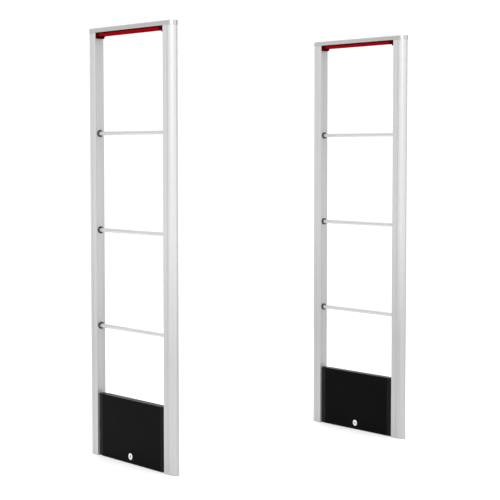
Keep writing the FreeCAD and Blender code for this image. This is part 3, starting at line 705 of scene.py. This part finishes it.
for side, turn in (("right", (0, -math.pi / 2, 0)), ("left", (0, math.pi / 2, 0))):
    places = []
    for low, high in bushes:
        if (low.x > 0) == (side == "right"):
            face_x = low.x + bush_ring if side == "right" else high.x - bush_ring
            places.append((face_x, (low.y + high.y) / 2, (low.z + high.z) / 2))
    ring_set = set_out("tube_bushes_" + side, places, bush_tree(turn), {}, "gate")
    if side == "right":
        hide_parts("rung_bushes")


# Base covers: two matching shells pressed from black coated sheet, with their ends turned back
# towards the posts. The back one is screwed on; the front one lifts off and carries the lock.
cover_edge = 0.0012
cover_shade = (0.0026, 0.0026, 0.0030, 1)
cover_light = (0.0034, 0.0034, 0.0038, 1)
# Colour of the turned-back ends, lighter than the rest: a painted highlight.
cover_end_painted_highlight = (0.010, 0.0105, 0.0115, 1)
cover_end_run = 0.026
cover_end_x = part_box("front_cover_a")[1].x - cover_end_run
cover_gloss = 0.016
cover_black, tree, shader = shader_material("black_coated_cover", rough=0.26)
shader.inputs["Specular IOR Level"].default_value = cover_gloss
grain = patterned(tree, scale=1300, detail=2.0)
coat = shade_between(tree, shader, patterned(tree, scale=9), cover_shade, cover_light)
# Past cover_end_x at both ends the colour is made lighter: a painted highlight on the turned-back
# ends.
ends = tree.nodes.new("ShaderNodeTexCoord")
spread = linked(tree, "ShaderNodeSeparateXYZ", {"Vector": ends.outputs["Object"]})
outward = linked(tree, "ShaderNodeMath", {0: spread.outputs["X"]}, operation="ABSOLUTE")
at_end = linked(tree, "ShaderNodeMath", {0: outward.outputs[0], 1: cover_end_x},
                operation="GREATER_THAN")
painted_highlight_end = linked(tree, "ShaderNodeMix", {"Factor": at_end.outputs[0]}, data_type="RGBA")
tree.links.new(coat.outputs["Color"], painted_highlight_end.inputs[6])
painted_highlight_end.inputs[7].default_value = cover_end_painted_highlight
tree.links.new(painted_highlight_end.outputs[2], shader.inputs["Base Color"])
rough_between(tree, shader, patterned(tree, scale=30), low=0.22, high=0.30)
raised(tree, shader, grain, strength=0.06, distance=0.00003)
for letter in pedestals:
    softened("back_cover_" + letter, "back_shell_" + letter, "gate", cover_black,
             cover_edge, rounds=3)
    softened("front_cover_" + letter, "front_shell_" + letter, "cover_" + letter,
             cover_black, cover_edge, rounds=3)


# Back cover screws: blackened steel screws with plain heads, four to a cover. They go through
# the back shell into the chassis plate.
back_head_height = 0.0018
blackened_dark = (0.02, 0.02, 0.02, 1)
blackened_light = (0.06, 0.06, 0.06, 1)
blackened, tree, shader = shader_material("blackened_screws", rough=0.45, metal=0.6)
shade_between(tree, shader, patterned(tree, scale=600), blackened_dark, blackened_light)
back_screws = solid_centres("back_screws")
places = []
for low, high in back_screws:
    places.append(((low.x + high.x) / 2, high.y - back_head_height, (low.z + high.z) / 2))
set_out("back_cover_screws", places,
        screw_tree("back_cover_screws", blackened, (-math.pi / 2, 0, 0)),
        {"Head radius": 0.003, "Head height": back_head_height, "Shank radius": 0.0015,
         "Shank length": (back_screws[0][1] - back_screws[0][0]).y - back_head_height,
         "Recess width": 0.0007},
        "gate", ["back_screws"])


# Cover lock: a chromed brass cylinder through the front cover, held by a nut behind. The plug
# turns a quarter turn and swings a steel cam under the strike on the base plate.
lock_case_edge = 0.0004
cam_edge = 0.0003
plug_edge = 0.0002
lock_chrome_dark = (0.78, 0.78, 0.78, 1)
lock_chrome_light = (0.88, 0.88, 0.88, 1)
lock_chrome, tree, shader = shader_material("polished_chrome", rough=0.1, metal=1.0)
handled = patterned(tree, scale=260)
shade_between(tree, shader, handled, lock_chrome_dark, lock_chrome_light)
rough_between(tree, shader, handled, low=0.06, high=0.18)
plug_metal_dark = (0.42, 0.42, 0.44, 1)
plug_metal_light = (0.58, 0.58, 0.60, 1)
plug_metal, tree, shader = shader_material("brushed_plug_metal", rough=0.3, metal=1.0)
facing = patterned(tree, scale=900)
shade_between(tree, shader, facing, plug_metal_dark, plug_metal_light)
rough_between(tree, shader, facing, low=0.24, high=0.42)
for letter in pedestals:
    softened("lock_body_" + letter, "lock_case_" + letter, "cover_" + letter,
             lock_chrome, lock_case_edge, rounds=3)
    softened("lock_nut_" + letter, "lock_fixing_nut_" + letter, "cover_" + letter,
             zinc_steel, cam_edge)
    softened("lock_plug_" + letter, "keyed_plug_" + letter, "lock_" + letter,
             plug_metal, plug_edge)
    softened("lock_cam_" + letter, "cam_tongue_" + letter, "lock_" + letter,
             zinc_steel, cam_edge)


# Lamp carriers: black channels screwed under the cap, open downwards, which hold the lamp board.
# Their black has a red tint that is painted light from the lens.
carrier_edge = 0.0003
carrier_gloss = 0.02
# Near-black with a painted red tint standing in for the lens's light.
carrier_black_painted_red_dark = (0.016, 0.001, 0.001, 1)
carrier_black_painted_red_light = (0.028, 0.002, 0.002, 1)
carrier_black, tree, shader = shader_material("carrier_black", rough=0.5)
shade_between(tree, shader, patterned(tree, scale=300), carrier_black_painted_red_dark, carrier_black_painted_red_light)
raised(tree, shader, patterned(tree, scale=1300), strength=0.2, distance=0.0001)
shader.inputs["Specular IOR Level"].default_value = carrier_gloss
for letter in pedestals:
    softened("lamp_carrier_" + letter, "lamp_channel_" + letter, "gate",
             carrier_black, carrier_edge)


# Lamp boards: white printed strips that lie in the carriers, lamps down. Twelve red lamps are
# soldered along the middle and flash in an alarm.
lamp_board_edge = 0.0001
board_white_dark = (0.66, 0.66, 0.63, 1)
board_white_light = (0.76, 0.76, 0.73, 1)
board_white, tree, shader = shader_material("white_lamp_board", rough=0.5)
shade_between(tree, shader, patterned(tree, scale=300), board_white_dark, board_white_light)
lamp_height = 0.0012
lamp_red_dark = (0.30, 0.002, 0.004, 1)
lamp_red_light = (0.45, 0.004, 0.008, 1)
lamp_red, tree, shader = shader_material("red_lamps", rough=0.25)
shade_between(tree, shader, patterned(tree, scale=600), lamp_red_dark, lamp_red_light)
for letter in pedestals:
    strip = softened("lamp_board_" + letter, "lamp_strip_" + letter, "gate",
                     board_white, lamp_board_edge)
    lowest_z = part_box("lamp_board_" + letter)[0].z
    finished_where(strip, lamp_red,
                   lambda face: face.center.z < lowest_z + lamp_height - face_slack)


# Lamp lenses: clear red mouldings under the carriers, thin-walled troughs whose ends turn down
# along the posts. Fine ribs inside spread the light, and the ends are darkened with painted shade.
lens_edge = 0.0005
lens_gloss = 0.0
lens_bright = (0.29, 0.001, 0.004, 1)
lens_deep = (0.21, 0.001, 0.003, 1)
lens_end_painted_shade = (0.045, 0.0005, 0.001, 1)
end_shade_start = 0.182
end_shade_full = 0.194
red_lens, tree, shader = shader_material("clear_red_lens", rough=0.22)
rib = linked(tree, "ShaderNodeTexWave", {"Scale": 160, "Distortion": 0.0}, wave_type="BANDS",
             bands_direction="X")
place = tree.nodes.new("ShaderNodeTexCoord")
tree.links.new(place.outputs["Object"], rib.inputs["Vector"])
ribbed = shade_between(tree, shader, rib.outputs["Fac"], lens_deep, lens_bright, low=0.0, high=1.0)
along = linked(tree, "ShaderNodeSeparateXYZ", {"Vector": place.outputs["Object"]})
outward = linked(tree, "ShaderNodeMath", {0: along.outputs["X"]}, operation="ABSOLUTE")
# Towards both ends the red is blended into a dark red: painted shade.
end_shade_ramp = linked(tree, "ShaderNodeMapRange",
                {"Value": outward.outputs[0], "From Min": end_shade_start,
                 "From Max": end_shade_full})
blend = linked(tree, "ShaderNodeMix", {"Factor": end_shade_ramp.outputs["Result"]}, data_type="RGBA")
tree.links.new(ribbed.outputs["Color"], blend.inputs[6])
blend.inputs[7].default_value = lens_end_painted_shade
tree.links.new(blend.outputs[2], shader.inputs["Base Color"])
raised(tree, shader, rib.outputs["Fac"], strength=0.15, distance=0.0002)
shader.inputs["Specular IOR Level"].default_value = lens_gloss
for letter in pedestals:
    softened("lamp_lens_" + letter, "red_lens_" + letter, "gate", red_lens, lens_edge,
             rounds=3)


# Lamp screws: blackened steel screws with plain heads, three to a lamp. They go up through the
# lens and the carrier into the cap.
lamp_head_height = 0.001
lamp_screws = solid_centres("lamp_screws")
places = []
for low, high in lamp_screws:
    places.append(((low.x + high.x) / 2, (low.y + high.y) / 2, low.z + lamp_head_height))
set_out("lamp_screw_set", places, screw_tree("lamp_screw_set", blackened, (math.pi, 0, 0)),
        {"Head radius": 0.0027, "Head height": lamp_head_height, "Shank radius": 0.0015,
         "Shank length": (lamp_screws[0][1] - lamp_screws[0][0]).z - lamp_head_height,
         "Recess width": 0.0006},
        "gate", ["lamp_screws"])


# Top caps: cast aluminium bars over both posts, with rounded ends and a bevelled top edge. The
# flat is satin like the posts and the rounded ends are polished.
cap_edge = 0.0006
satin_rough = 0.38
polished_rough = 0.12
cap_light = (0.52, 0.515, 0.51, 1)
cap_shade = (0.44, 0.435, 0.43, 1)
polish_start = 0.238
polish_end = 0.262
cap_aluminium, tree, shader = shader_material("satin_cap_aluminium", rough=satin_rough, metal=0.65)
brushed = patterned(tree, scale=300, stretch=(0.01, 1, 1))
shade_between(tree, shader, brushed, cap_shade, cap_light)
where = tree.nodes.new("ShaderNodeTexCoord")
parts = linked(tree, "ShaderNodeSeparateXYZ", {"Vector": where.outputs["Object"]})
outward = linked(tree, "ShaderNodeMath", {0: parts.outputs["X"]}, operation="ABSOLUTE")
polish = linked(tree, "ShaderNodeMapRange", {"Value": outward.outputs[0], "From Min": polish_start,
                                             "From Max": polish_end, "To Min": satin_rough,
                                             "To Max": polished_rough})
tree.links.new(polish.outputs["Result"], shader.inputs["Roughness"])
raised(tree, shader, brushed, strength=0.1, distance=0.00008)
for letter in pedestals:
    softened("top_cap_" + letter, "cast_cap_" + letter, "gate", cap_aluminium,
             cap_edge, rounds=3)


# Cap screws: bright steel screws with plain heads, six to a cap. They go down into the screw
# ports of the two posts.
cap_head_height = 0.0016
cap_screws = solid_centres("cap_screws")
places = []
for low, high in cap_screws:
    places.append(((low.x + high.x) / 2, (low.y + high.y) / 2, high.z - cap_head_height))
set_out("cap_screw_set", places, screw_tree("cap_screw_set", screw_steel, (0, 0, 0)),
        {"Head radius": 0.0028, "Head height": cap_head_height, "Shank radius": 0.0015,
         "Shank length": (cap_screws[0][1] - cap_screws[0][0]).z - cap_head_height,
         "Recess width": 0.0006},
        "gate", ["cap_screws"])


# Antenna loops: one grey insulated wire round each frame, out of sight. It runs inside both
# posts, the cap and the base.
wire_grey_dark = (0.26, 0.26, 0.27, 1)
wire_grey_light = (0.34, 0.34, 0.35, 1)
wire_grey, tree, shader = shader_material("wire_insulation", rough=0.55)
shade_between(tree, shader, patterned(tree, scale=300), wire_grey_dark, wire_grey_light)
for letter in pedestals:
    clad("antenna_loop_" + letter, wire_grey)


# Studio: a plain pale round floor in a white room with two large soft lights. The metal mirrors a
# few dimmer patches of wall and two brighter ones. Wherever the camera looks, it is plain white.
floor_radius = 4.0
floor_sides = 96
room_light = 1.12
# Each patch: which way it lies, the cosines where it starts and is full, and its share of the light
wall_patches = (((-0.78, -0.62, 0.0), 0.60, 0.95, 0.72), ((0.78, 0.62, 0.0), 0.90, 0.99, 0.36),
                ((-0.40, 0.91, 0.0), 0.86, 0.97, 1.60), ((0.94, -0.34, 0.0), 0.88, 0.97, 1.45),
                ((0.41, 0.89, 0.20), 0.985, 0.992, 0.25),
                ((-0.10, 0.97, 0.22), 0.985, 0.992, 0.35))
floor_drop = 0.0005
floor_glow = 0.22
front_light = ((0.5, -5.5, 3.2), (0, 0, 0.8), 4.0, 90)
top_light = ((0, 0, 5.0), (0, 0, 0), 5.0, 60)
camera_place = (4.519, -3.621, 1.128)
camera_heading = (-0.7814, 0.6240)
camera_dip = math.radians(3.70)
camera_lens = 109.4
camera_sensor = 36.0

studio_white_dark = (0.84, 0.84, 0.84, 1)
studio_white_light = (0.86, 0.86, 0.86, 1)
studio_white, tree, shader = shader_material("pale_floor", rough=0.9)
shade_between(tree, shader, patterned(tree, scale=2), studio_white_dark, studio_white_light)
shader.inputs["Emission Color"].default_value = (1, 1, 1, 1)
shader.inputs["Emission Strength"].default_value = floor_glow
work = bmesh.new()
bmesh.ops.create_circle(work, cap_ends=True, segments=floor_sides, radius=floor_radius)
for vert in work.verts:
    vert.co.z = -floor_drop
mesh = bpy.data.meshes.new("studio_floor")
work.to_mesh(mesh)
work.free()
mesh.materials.append(studio_white)
floor = bpy.data.objects.new("studio_floor", mesh)
bpy.context.scene.collection.objects.link(floor)


def soft_light(name, place, target, size, power):
    # A square softbox aimed at a point
    data = bpy.data.lights.new(name, "AREA")
    data.shape = "SQUARE"
    data.size = size
    data.energy = power
    lamp = bpy.data.objects.new(name, data)
    bpy.context.scene.collection.objects.link(lamp)
    lamp.location = place
    lamp.rotation_euler = (Vector(target) - Vector(place)).to_track_quat("-Z", "Y").to_euler()


soft_light("front_softbox", *front_light)
soft_light("top_softbox", *top_light)

world = bpy.data.worlds.new("studio_room")
world.use_nodes = True
tree = world.node_tree
background = tree.nodes["Background"]
background.inputs["Color"].default_value = (1.0, 1.0, 1.0, 1)
toward = linked(tree, "ShaderNodeTexCoord")
level = room_light
for heading, edge, core, share in wall_patches:
    side = linked(tree, "ShaderNodeVectorMath", {0: toward.outputs["Generated"], 1: heading},
                  operation="DOT_PRODUCT")
    dim = linked(tree, "ShaderNodeMapRange", {"Value": side.outputs["Value"], "From Min": edge,
                                              "From Max": core, "To Min": 1.0, "To Max": share})
    level = linked(tree, "ShaderNodeMath", {0: dim.outputs["Result"], 1: level},
                   operation="MULTIPLY").outputs[0]
seen = tree.nodes.new("ShaderNodeLightPath")
plain = linked(tree, "ShaderNodeMix",
               {"Factor": seen.outputs["Is Camera Ray"], 2: level, 3: room_light},
               data_type="FLOAT")
tree.links.new(plain.outputs[0], background.inputs["Strength"])
bpy.context.scene.world = world
bpy.context.scene.view_settings.view_transform = "Standard"

camera_data = bpy.data.cameras.new("camera")
camera_data.lens = camera_lens
camera_data.sensor_width = camera_sensor
camera = bpy.data.objects.new("camera", camera_data)
bpy.context.scene.collection.objects.link(camera)
camera.location = camera_place
heading = Vector((camera_heading[0] * math.cos(camera_dip),
                  camera_heading[1] * math.cos(camera_dip),
                  -math.sin(camera_dip)))
camera.rotation_euler = heading.to_track_quat("-Z", "Y").to_euler()
bpy.context.scene.camera = camera
